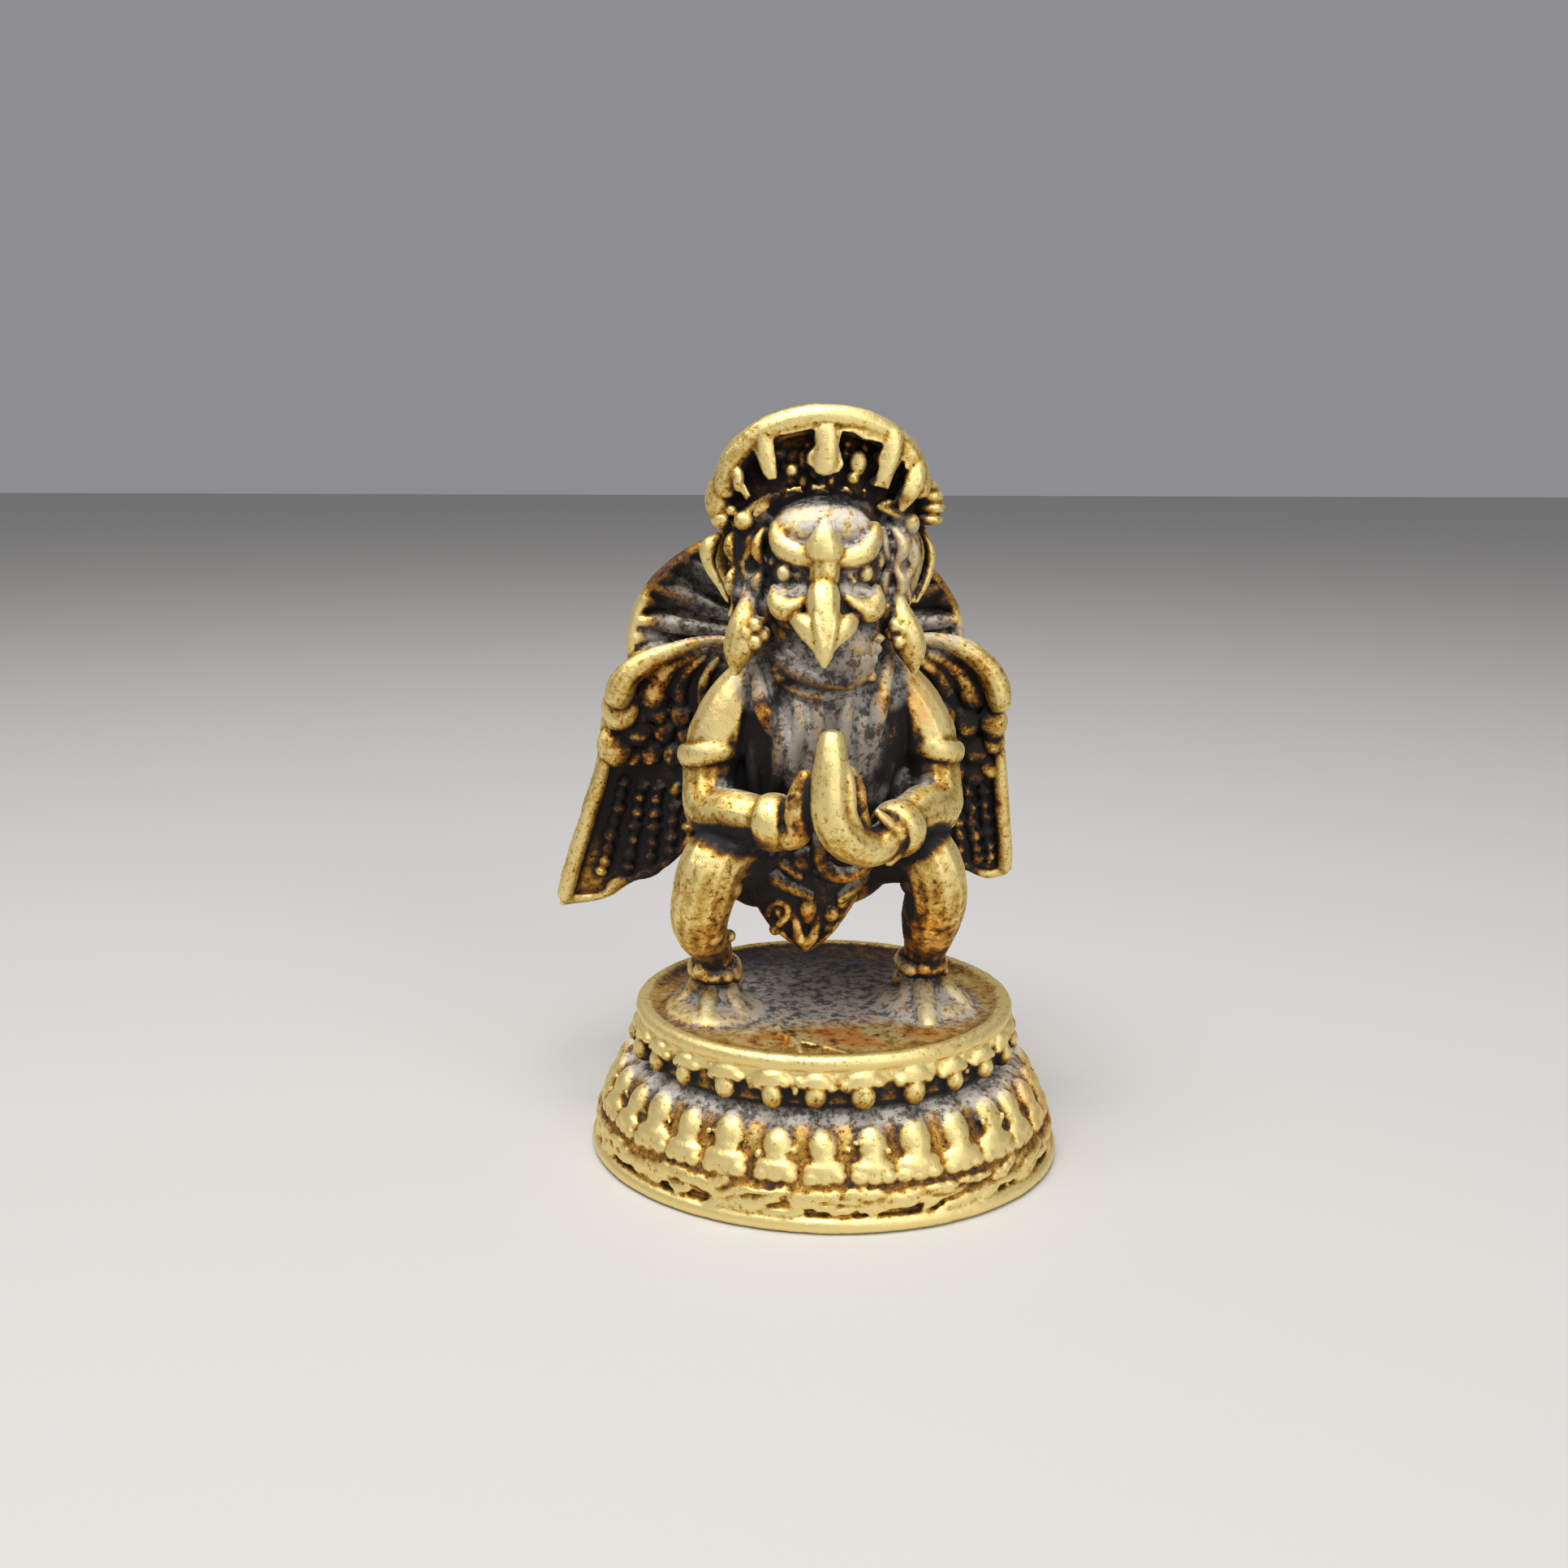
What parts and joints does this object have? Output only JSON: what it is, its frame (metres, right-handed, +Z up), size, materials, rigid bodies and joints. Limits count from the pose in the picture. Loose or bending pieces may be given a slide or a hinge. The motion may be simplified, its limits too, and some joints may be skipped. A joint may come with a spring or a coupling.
{
  "type": "garuda figure",
  "caption": "Small solid-cast brass statuette of a crouching bird-headed winged figure, palms together, on an oval lotus plinth.",
  "frame": {"origin": "middle of the oval plinth's flat underside", "axes": "+Z up through the figure; the figure faces -Y; +X is to the right of someone who faces it"},
  "size_m": [0.0237, 0.0196, 0.0343],
  "materials": {
    "cast_brass": "worn bright on raised forms, dark brown patina and grey dust in the hollows"
  },
  "bodies": {
    "root": {"garuda_figure": "cast_brass"}
  },
  "joints": []
}
